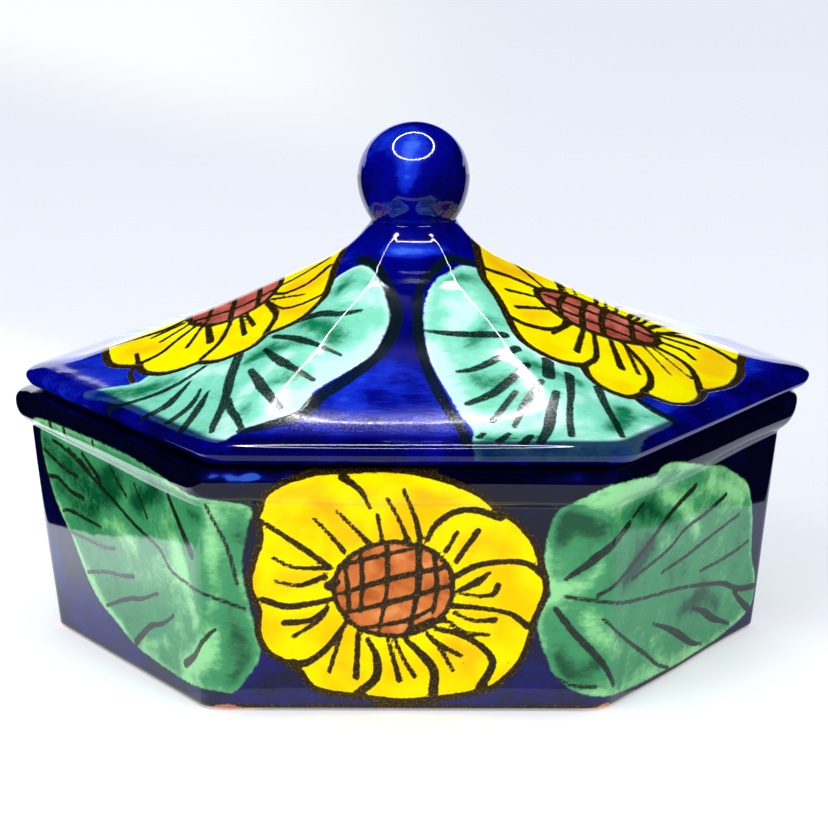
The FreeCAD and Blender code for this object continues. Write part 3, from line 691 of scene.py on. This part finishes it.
def lid_profile():
    neck = spline([(10.6, NECK_TOP + 0.8, 8), (10.8, NECK_TOP - 0.4, 7), (11.5, 106.5, 5.5),
                   (12.5, 104.8, 4.5), (13.9, 103, 4), (15.8, 101.1, 4), (18.6, 99, 4)])
    roof = spline([(18.6, 99, 4), (21.6, 97.3, 4.2), (25.2, 95.45, 4.5), (32.9, 91.5, 5),
                   (43, 86.3, 5), (53.7, 81.4, 5.5), (64, 76.75, 6), (70, 74.15, 6.5),
                   (74, 72.6, 6.5), (76.8, 71.7, 7), (80.5, 70.9, 7), (84, 70.3, 7)])
    edge = spline([(84, 70.3, 7), *inset(
        LID_REACH, (3.2, 69.85, 7.5), (1.5, 69.3, 8), (0.4, 68.5, 8), (0, 67.6, 8), (0.2, 66.6, 8),
        (0.8, 65.6, 8), (1.7, 64.9, 8), (2.9, 64.4, 7.5))])
    seat = [*inset(LID_REACH, (2.9, 64.4, 7.5), (3.9, POT_TOP, 7)), (72.4, POT_TOP, 5)]
    hollow = spline([(72.4, POT_TOP, 5), (71.1, 64.4, 5), (69.6, 66.8, 5), (43.3, 79.3, 6),
                     (14, 93.2, 7), (8, 94.4, 8), (2, 94.6, 2)])
    return profile((0.9, neck), (0.85, roof), (0.5, edge), (2.5, seat), (2.5, hollow))


def lid_fields(chart, reach, along, starts):
    """The painting, then the clay seat, the inside, painted light and shade in the blue, and where the
    glaze is rubbed.
    """
    _, _, edge, seat, hollow = starts
    x, y = chart.T
    paint = Paint(chart)
    paint.leaf(LID_LEFT_LEAF)
    paint.leaf(LID_RIGHT_LEAF)
    back = Paint(np.stack([-np.abs(x), -y], 1) + 1.2 * drift(chart, 24, 51))
    back.leaf(LID_LEFT_LEAF)
    paint.over(back, y > 0)
    paint.flower(LID_LEFT_FLOWER)
    paint.flower(LID_RIGHT_FLOWER)
    fields = paint.kept(along <= edge + 8.5)

    seat_middle = (seat + hollow) / 2 + 1.5
    fields["clay"] = np.clip(4.5 - np.abs(along - seat_middle), -FAR, FAR)
    fields["inside"] = np.clip(along - hollow, -FAR, FAR)
    on_edge = np.clip((along - edge + 3) / 4, 0, 1)
    low_slope = hill(np.hypot(x / 1.15, y), 68, 20)
    front_side = (y < 0) * (along < seat)
    # Painted highlight: lighter blue at the front of the neck.
    throat_highlight = hill(reach, 14, 1.3) * hill(x, 0, 8, 4) * front_side
    # Painted reflection: the lower slopes are lighter.
    fields["wear_and_painted_light"] = (0.6 * low_slope - 0.1) * (1 - on_edge) + 1.2 * throat_highlight
    # The edge band is darker, and its left end is painted lighter where light falls from the left.
    fields["wear_and_painted_light"] += (0.5 * hill(x, -98, 22) - 0.3) * on_edge
    fields["thin"] = np.clip((along - edge) / 2, 0, 1)
    rubbed_eave = hill(reach, 76, 6) * hill(x, 0, 44, 4)
    rubbed_ridge = hill(reach, 64, 9) * hill(np.abs(x), 34, 8)
    fields["haze"] = np.maximum(rubbed_eave, rubbed_ridge) * front_side
    return fields


def build_lid():
    rows, starts = lid_profile()
    grid, ways = hexagon_rows(rows, 92, 12)
    grid[..., 0] += LID_EDGE_SHIFT * np.clip((rows[:, :1] - 66) / 18, 0, 1)
    chart = grid[..., :2].reshape(-1, 2).copy()
    grid = wobble(swell_back(grid), 41, (POT_TOP,), CLAY_WOBBLE / 2)
    grid[..., 0] += LID_SHIFT
    piece = ring_mesh("lid", grid)
    store(piece, lid_fields(chart, np.repeat(rows[:, 0], len(ways)),
                            np.repeat(lengths_along(rows), len(ways)), starts))
    return piece


def build_flange():
    outer, inner = FLANGE_REACH, FLANGE_REACH - 4.6
    section = np.array([(inner, POT_TOP + 1.5, 5), (inner, FLANGE_LOW + 1.2, 5),
                        (inner + 0.5, FLANGE_LOW + 0.3, 5), (inner + 1.4, FLANGE_LOW, 5.5),
                        (outer - 1.4, FLANGE_LOW, 6.5), (outer - 0.4, FLANGE_LOW + 0.4, 7),
                        (outer, FLANGE_LOW + 1.4, 7), (outer + 0.2, POT_TOP - 0.8, 7),
                        (outer + 0.9, POT_TOP + 0.1, 7), (outer + 0.9, POT_TOP + 1.5, 7)])
    grid, _ = hexagon_rows(evenly(section, 0.8), 60, 8)
    grid = wobble(grid, 61, (FLANGE_LOW, POT_TOP))
    grid[..., 0] += LID_SHIFT
    return ring_mesh("lid_flange", grid, loop=True)


def build_knob():
    middle = (0, KNOB_CENTRE + 0.3)
    upper = arc(middle, (KNOB_RADIUS, KNOB_RADIUS + 0.1), 0, 88.5, 26)
    lower = arc(middle, (KNOB_RADIUS, KNOB_RADIUS + 2.7), -42, 0, 16)
    stem = spline([(9.5, NECK_TOP - 3), (10.2, NECK_TOP - 0.6), (10.4, NECK_TOP + 0.1),
                   tuple(lower[0])], 4)
    rows = np.concatenate([stem[:-1], lower[:-1], upper])
    grid = wobble(circle_rows(rows, 96), 71, (NECK_TOP - 3,))
    facing = (grid - np.array([0, 0, KNOB_CENTRE])).reshape(-1, 3)
    facing /= np.linalg.norm(facing, axis=1)[:, None]
    # Painted highlight: the blue is lit up where the knob faces forward and up.
    wear_and_highlight = np.exp((facing @ np.array([-0.12, -0.72, 0.68]) - 1) / 0.09)
    x, y, z = facing.T
    # A lighter streak down the front of the knob.
    run = hill(x - 0.2 * z, -0.16, 0.16) * hill(z, 0.2, 0.45) * (y < 0)
    # Painted light: the top of the knob is lighter.
    lit_crown = 0.3 * np.clip(z + 0.1, 0, 1)
    grid[..., 0] += LID_SHIFT
    piece = ring_mesh("knob", grid)
    store(piece, {"wear_and_painted_light": wear_and_highlight + 0.6 * run + lit_crown - 0.2})
    return piece


# ---------------------------------------------------------------- materials

def srgb(red, green, blue):
    """A colour as the eye sees it, 0 to 255, in the renderer's linear values."""
    channels = np.array([red, green, blue]) / 255
    linear = np.where(channels <= 0.04045, channels / 12.92, ((channels + 0.055) / 1.055) ** 2.4)
    return (*linear.tolist(), 1.0)


class Shader:
    """A material's nodes, built up by short calls."""

    def __init__(self, name):
        self.material = bpy.data.materials.new(name)
        self.material.use_nodes = True
        self.tree = self.material.node_tree
        self.tree.nodes.clear()
        self.place = self.node("TexCoord").outputs["Object"]

    def node(self, kind, settings=(), *values, **named):
        """A node with its settings, and what its sockets hold or follow, in order or by name."""
        node = self.tree.nodes.new("ShaderNode" + kind)
        for key, value in dict(settings).items():
            setattr(node, key, value)
        for socket, value in zip(node.inputs, values):
            self.feed(socket, value)
        for key, value in named.items():
            self.feed(node.inputs[key.replace("_", " ")], value)
        return node

    def feed(self, socket, value):
        if isinstance(value, bpy.types.NodeSocket):
            self.tree.links.new(value, socket)
        else:
            socket.default_value = value

    def field(self, name):
        return self.node("Attribute", {"attribute_name": name}).outputs["Fac"]

    def math(self, operation, first, second):
        return self.node("Math", {"operation": operation}, first, second).outputs[0]

    def times(self, first, second):
        return self.math("MULTIPLY", first, second)

    def plus(self, first, second, share=None):
        """The first value and the second, or a share of the second."""
        return self.math("ADD", first, second if share is None else self.times(second, share))

    def stretched(self, *scale):
        return self.node("Mapping", Vector=self.place, Scale=scale).outputs[0]

    def noise(self, size, detail=3.0, roughness=0.5, place=None, distortion=0.0):
        """Noise from 0 to 1 whose patches are about size millimetres."""
        return self.node("TexNoise", Vector=place or self.place, Scale=1 / (size * MM),
                         Detail=detail, Roughness=roughness, Distortion=distortion).outputs[0]

    def step(self, value, low, high, start=0.0, end=1.0):
        return self.node("MapRange", {"interpolation_type": "SMOOTHSTEP"}, Value=value,
                         From_Min=low, From_Max=high, To_Min=start, To_Max=end).outputs[0]

    def mix(self, share, first, second):
        node = self.node("Mix", {"data_type": "RGBA"}, share)
        self.feed(node.inputs[6], first)
        self.feed(node.inputs[7], second)
        return node.outputs[2]

    def shades(self, value, *stops):
        """Blend colours by a value, from (value, colour) stops."""
        colour = stops[0][1]
        for (low, _), (high, shade) in zip(stops, stops[1:]):
            colour = self.mix(self.step(value, low, high), colour, shade)
        return colour

    def speckle(self, size, share):
        """Scattered dots of about size millimetres, on a share of the cells."""
        dots = self.node("TexVoronoi", Vector=self.place, Scale=1 / (size * 4 * MM))
        chosen = self.math("LESS_THAN", dots.outputs["Color"], share)
        return self.times(chosen, self.step(dots.outputs["Distance"], 0.18, 0.06))

    def surface(self, **sockets):
        self.node("OutputMaterial", (), self.node("BsdfPrincipled", **sockets).outputs[0])
        return self.material

    def glazed(self, colour, roughness, height, **sockets):
        """Glaze or clay, with its relief as a height in millimetres."""
        relief = self.node("Bump", Height=height, Distance=MM, Strength=1.0).outputs[0]
        return self.surface(Base_Color=colour, Roughness=roughness, Normal=relief, IOR=1.5, **sockets)

    def matt(self, colour, glow, strength):
        """Paper or cloth, which may glow."""
        return self.surface(Base_Color=colour, Roughness=0.9, Specular_IOR_Level=0.0,
                            Emission_Color=glow, Emission_Strength=strength)


POT_PALETTE = {
    "blues": (srgb(1, 2, 22), srgb(3, 4, 50), srgb(5, 7, 96), srgb(44, 80, 180)),
    "greens": (srgb(2, 74, 40), srgb(58, 142, 88), srgb(142, 214, 142)),
    "yellows": (srgb(255, 230, 0), srgb(252, 196, 0)),
    "browns": (srgb(176, 84, 38), srgb(206, 114, 58), srgb(226, 142, 86)),
    "vein": srgb(22, 22, 14),
}
LID_PALETTE = {
    "blues": (srgb(1, 1, 70), srgb(2, 3, 128), srgb(16, 44, 196), srgb(60, 104, 230)),
    "greens": (srgb(14, 126, 82), srgb(132, 226, 192), srgb(204, 252, 238)),
    "yellows": (srgb(255, 244, 0), srgb(255, 220, 0)),
    "browns": (srgb(150, 66, 56), srgb(192, 92, 78), srgb(214, 126, 104)),
    "vein": srgb(6, 22, 22),
}
ORANGE = srgb(246, 150, 20)
WHITE = (1, 1, 1, 1)
SUNNY_SHEEN = (0.9, 0.72, 0.12, 1)
INK_SHEEN = (0.75, 0.6, 0.4, 1)
INK = srgb(32, 22, 8)
INK_THIN = srgb(116, 92, 22)
CREAM = srgb(238, 230, 208)
CREAM_DARK = srgb(222, 208, 178)
CLAY = srgb(196, 128, 96)
CLAY_DARK = srgb(150, 88, 62)
CLAY_PALE = srgb(218, 168, 138)


def blue_glaze(shader, blues):
    """Cobalt glaze that pools dark and breaks to brighter, brushy patches, made lighter or darker again by
    a per-vertex field of worn spots and painted light.
    """
    pools = shader.noise(17, 4, 0.55, distortion=0.4)
    brush = shader.noise(1.6, 4, 0.7, place=shader.stretched(0.35, 1.0, 1.0))
    tone = shader.plus(shader.times(pools, 0.7), brush, 0.32)
    # Worn spots, painted light and painted shade, stored per vertex, shift the blue.
    tone = shader.plus(tone, shader.field("wear_and_painted_light"), 0.4)
    return shader.shades(tone, *zip((0.34, 0.56, 0.76, 0.95), blues))


def green_wash(shader, greens, soft):
    """Brushed copper green, mottled, with darker and lighter strokes: partly where the brush was loaded or
    nearly dry, partly painted shade and painted highlights.
    """
    wash = shader.noise(20, 3, 0.45, distortion=0.4)
    mottle = shader.noise(4.5, 3, 0.6)
    bristle = shader.noise(1.2, 4, 0.65, place=shader.stretched(0.6, 0.6, 1.2))
    tone = shader.plus(shader.times(wash, 0.55), mottle, 0.25)
    tone = shader.plus(tone, bristle, 0.24)
    # Deep strokes darken and light strokes lighten the green.
    for name, amount in (("deep", -0.25), ("light", 0.22)):
        depth = shader.plus(shader.field(name), soft, 3.0)
        tone = shader.plus(tone, shader.step(depth, -3.4, 3.2, 0.0, amount))
    tone = shader.plus(tone, shader.step(shader.field("leaf"), 2.6, 0.3, 0.0, 0.12))
    return shader.shades(tone, *zip((0.24, 0.52, 0.78), greens))


def terracotta(shader):
    grain = shader.noise(0.5, 5, 0.7)
    colour = shader.shades(shader.noise(9, 3), (0.3, CLAY_DARK), (0.5, CLAY), (0.72, CLAY_PALE))
    return shader.mix(shader.step(grain, 0.5, 0.75, 0, 0.4), colour, CLAY_DARK)


def cream_glaze(shader):
    """Thin tin glaze over clay, with the clay warming it where it ran thin."""
    colour = shader.shades(shader.noise(22, 4), (0.3, CREAM_DARK), (0.55, CREAM))
    return shader.mix(shader.speckle(0.5, 0.16), colour, CLAY_DARK)


def glaze_relief(shader):
    """Slow pooling waves, a fine orange-peel and pits in fired glaze, in millimetres."""
    relief = shader.times(shader.noise(14, 2), 0.07)
    relief = shader.plus(relief, shader.noise(2.4, 2), 0.007)
    return shader.plus(relief, shader.speckle(0.3, 0.06), -0.03)


def painted_glaze(name, palette):
    """Brush-painted glaze: leaves, flowers and dark line work over cobalt blue."""
    shader = Shader(name)
    fray = shader.math("SUBTRACT", shader.noise(1.1, 4, 0.65), 0.5)
    soft = shader.math("SUBTRACT", shader.noise(5, 3), 0.5)
    grain = shader.noise(0.4, 2, 0.6)

    def covered(field, fray_width, edge):
        return shader.step(shader.plus(shader.field(field), fray, fray_width), -edge, edge)

    colour = blue_glaze(shader, palette["blues"])
    rubbed_thin = shader.step(shader.field("thin"), 0, 1, 1.0, 0.07)
    leaf = shader.times(covered("leaf", 1.4, 0.35), rubbed_thin)
    colour = shader.mix(leaf, colour, green_wash(shader, palette["greens"], soft))
    vein = shader.times(covered("vein", 0.9, 0.2), shader.step(grain, 0.75, 0.4, 0.8, 1.0))
    colour = shader.mix(vein, colour, palette["vein"])

    petal = covered("petal", 0.6, 0.16)
    sunny = shader.shades(shader.noise(16, 3), *zip((0.4, 0.68), palette["yellows"]))
    orange_depth = shader.plus(shader.field("orange"), soft, 4.0)
    sunny = shader.mix(shader.step(orange_depth, -2.8, 3.2, 0.0, 0.5), sunny, ORANGE)
    colour = shader.mix(petal, colour, sunny)

    disc = covered("disc", 0.5, 0.2)
    seeds = shader.noise(6, 3, distortion=0.5)
    seeds = shader.shades(seeds, *zip((0.34, 0.52, 0.7), palette["browns"]))
    colour = shader.mix(disc, colour, seeds)

    # The ink field also carries the painted shadow along the pot's foot.
    ink = covered("ink", 0.9, 0.16)
    dry = shader.step(grain, 0.54, 0.7, 0.0, 0.85)
    colour = shader.mix(ink, colour, shader.mix(dry, INK, INK_THIN))
    sheen_colour = shader.mix(petal, WHITE, SUNNY_SHEEN)
    sheen_colour = shader.mix(ink, sheen_colour, INK_SHEEN)
    colour = shader.mix(shader.times(shader.speckle(0.35, 0.06), 0.8), colour, INK)

    inside_depth = shader.plus(shader.field("inside"), soft, 5.0)
    colour = shader.mix(shader.step(inside_depth, -0.3, 0.3), colour, cream_glaze(shader))
    clay = covered("clay", 1.2, 0.25)
    colour = shader.mix(clay, colour, terracotta(shader))

    roughness = shader.step(shader.noise(24, 4), 0.3, 0.7, 0.04, 0.075)
    roughness = shader.plus(roughness, ink, 0.05)
    grit = shader.step(shader.noise(0.5, 3, 0.7), 0.44, 0.58, 0.02, 0.3)
    roughness = shader.plus(roughness, shader.field("haze"), grit)
    roughness = shader.math("MAXIMUM", roughness, shader.times(clay, 0.82))
    relief = glaze_relief(shader)
    for layer, height in ((leaf, 0.02), (petal, 0.03), (disc, 0.02), (ink, 0.02), (clay, -0.12)):
        relief = shader.plus(relief, layer, height)
    relief = shader.plus(relief, shader.times(shader.noise(0.8, 5), 0.12), clay)
    return shader.glazed(colour, roughness, relief, Specular_Tint=sheen_colour)


def knob_glaze():
    shader = Shader("knob_cobalt_glaze")
    blues = LID_PALETTE["blues"]
    pits = shader.times(shader.speckle(0.4, 0.08), 0.7)
    colour = shader.mix(pits, blue_glaze(shader, blues), blues[0])
    roughness = shader.step(shader.noise(10, 4), 0.3, 0.7, 0.04, 0.08)
    return shader.glazed(colour, roughness, glaze_relief(shader))


def flange_glaze():
    shader = Shader("flange_cream_glaze")
    foot = shader.node("SeparateXYZ", Vector=shader.place).outputs["Z"]
    wear_and_highlight = shader.plus(foot, shader.noise(6, 4), -0.003)
    bare = shader.step(wear_and_highlight, (FLANGE_LOW - 0.4) * MM, (FLANGE_LOW - 1.2) * MM)
    colour = shader.mix(bare, cream_glaze(shader), terracotta(shader))
    roughness = shader.step(bare, 0, 1, 0.12, 0.8)
    return shader.glazed(colour, roughness, glaze_relief(shader))


# ---------------------------------------------------------------- pieces on their bodies

def dress(piece, material, body, node):
    piece.data.materials.append(material)
    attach(piece, body)
    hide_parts(node)


dress(build_pot(), painted_glaze("pot_painted_glaze", POT_PALETTE), "pot", "pot_body")
dress(build_lid(), painted_glaze("lid_painted_glaze", LID_PALETTE), "lid", "lid_shell")
dress(build_flange(), flange_glaze(), "lid", "lid_locating_flange")
dress(build_knob(), knob_glaze(), "lid", "lid_knob")


# ---------------------------------------------------------------- floor, lights and camera

PALE = (0.9, 0.92, 1.0, 1)


def plain_material(name, colour, glow=0.0):
    shader = Shader(name)
    darker = tuple(0.985 * channel for channel in colour)
    cloud = shader.shades(shader.noise(180, 3), (0.3, colour), (0.7, darker))
    return shader.matt(cloud, colour, glow)


def staged(name, places, faces, material):
    mesh = bpy.data.meshes.new(name)
    mesh.from_pydata([tuple(MM * value for value in place) for place in places], [], faces)
    mesh.materials.append(material)
    card = bpy.data.objects.new(name, mesh)
    bpy.context.scene.collection.objects.link(card)
    return card


def flat_sheet(name, left, right, front, back, height, material):
    plan = ((left, front), (right, front), (right, back), (left, back))
    return staged(name, [(x, y, height) for x, y in plan], [(0, 1, 2, 3)], material)


def reflection_only(card):
    """A card that shows only in the glaze, as a flag or strip beside the light tent would."""
    card.visible_camera = False
    card.visible_diffuse = False
    card.visible_shadow = False
    card.visible_transmission = False


def build_floor():
    """A white sheet that glows: a painted pool of light round the box, dimmer and cooler behind and to the
    right, with a painted warm glow far behind on the left.
    """
    shader = Shader("floor_white")
    across, back, _ = shader.node("SeparateXYZ", Vector=shader.place).outputs
    slant = shader.plus(back, across, 1.2)
    pool = shader.step(slant, 0.24, 0.1, 0.0, 0.3)
    far_glow = shader.times(shader.step(slant, 0.58, 0.85), 0.17)
    far_glow = shader.times(far_glow, shader.step(across, 0.06, -0.12))
    warm = shader.mix(far_glow, (0, 0, 0, 1), (1, 0.96, 0.5, 1))
    glow = shader.node("VectorMath", {"operation": "ADD"}, warm, pool).outputs[0]
    cloud = shader.shades(shader.noise(180, 3), (0.3, (0.86, 0.865, 0.885, 1)),
                          (0.7, (0.85, 0.858, 0.88, 1)))
    half = 4000
    flat_sheet("floor", -half, half, -half, half, 0, shader.matt(cloud, glow, 1.0))


def build_flags():
    """Dark cards at the sides and front: beyond them the glaze sees no floor."""
    black = plain_material("flag_black", (0.004, 0.004, 0.005, 1))
    left, right, front, back, tall = -156, 172, -240, 150, 130
    plan = [(left, back), (left, front), (right, front), (right, back)]
    places = [(x, y, z) for z in (-1, tall) for x, y in plan]
    faces = [(i, i + 1, i + 5, i + 4) for i in range(3)]
    reflection_only(staged("flags", places, faces, black))


def build_floor_cards():
    """Cards flat on the floor: pale at the left, greyer in front and at the right."""
    shader = Shader("pale_card")
    across = shader.node("SeparateXYZ", Vector=shader.place).outputs["X"]
    pale = shader.matt(PALE, (0.9, 0.94, 1.0, 1), shader.step(across, -0.095, -0.15, 0.1, 1.1))
    grey = plain_material("grey_card", (0.6, 0.62, 0.72, 1))
    reflection_only(flat_sheet("card_left", -155, -58, -90, 149, 0.3, pale))
    reflection_only(flat_sheet("card_right", 58, 171, -90, 149, 0.3, grey))
    reflection_only(flat_sheet("card_front", -155, 171, -239, -90, 0.3, grey))


def build_backdrop_card():
    """A pale card well behind, which lights the rims of the glaze, higher on the left."""
    behind, wide = 700, 1000
    places = [(-wide, behind, 0), (wide, behind, 0), (wide, behind, 230), (100, behind, 290),
              (-100, behind, 350), (-wide, behind, 360)]
    card = plain_material("backdrop_card", PALE, 0.6)
    reflection_only(staged("backdrop_card", places, [(0, 1, 2, 3, 4, 5)], card))


def build_ring_light():
    """The light tent's round strip of lamps, seen as thin bright lines in the glaze."""
    radius, tube, height, forward = 44, 1.6, 187, -26
    turn = np.linspace(0, 2 * math.pi, 8, endpoint=False)
    section = np.stack([radius + tube * np.cos(turn), height + tube * np.sin(turn)], 1)
    grid = circle_rows(section, 120)
    grid[:, :, 1] += forward
    ring = ring_mesh("ring_light", grid, loop=True)
    ring.data.materials.append(plain_material("ring_lamps", WHITE, 35.0))
    reflection_only(ring)


def build_light(name, place, size, power):
    light = bpy.data.lights.new(name, "AREA")
    light.energy = power
    light.size = size
    lamp = bpy.data.objects.new(name, light)
    lamp.location = place
    aim = Vector((0, 0, 0.06)) - Vector(place)
    lamp.rotation_euler = aim.to_track_quat("-Z", "Y").to_euler()
    lamp.visible_glossy = False
    lamp.visible_camera = False
    bpy.context.scene.collection.objects.link(lamp)


def build_world():
    world = bpy.data.worlds.new("pale_room")
    bpy.context.scene.world = world
    world.use_nodes = True
    sky = world.node_tree.nodes["Background"]
    sky.inputs["Color"].default_value = (0.9, 0.93, 1.0, 1)
    sky.inputs["Strength"].default_value = 1.0
    world.cycles_visibility.glossy = False


def build_camera():
    """At the photograph's viewing angle: about 13 degrees down on the front."""
    place = (0, -1.2032, 0.3395)
    pitch, pan, roll = 0.2308, 0.0017, 0.0014
    forward = Vector((math.sin(pan) * math.cos(pitch), math.cos(pan) * math.cos(pitch),
                      -math.sin(pitch)))
    level = forward.cross(Vector((0, 0, 1))).normalized()
    upright = level.cross(forward)
    right = level * math.cos(roll) + upright * math.sin(roll)
    up = upright * math.cos(roll) - level * math.sin(roll)
    turn = Matrix((right, up, -forward)).transposed().to_4x4()
    lens = bpy.data.cameras.new("camera")
    lens.lens = 206.1
    lens.sensor_width = 36
    camera = bpy.data.objects.new("camera", lens)
    camera.matrix_world = Matrix.Translation(place) @ turn
    bpy.context.scene.collection.objects.link(camera)
    bpy.context.scene.camera = camera


build_floor()
build_flags()
build_floor_cards()
build_backdrop_card()
build_ring_light()
build_world()
build_light("overhead", (-0.2, -0.25, 0.8), 0.6, 1.6)
build_light("front_left", (-0.6, -0.9, 0.5), 0.5, 1.6)
build_light("front_right", (0.7, -0.9, 0.5), 0.5, 0.8)
build_camera()
bpy.context.scene.view_settings.view_transform = "Standard"
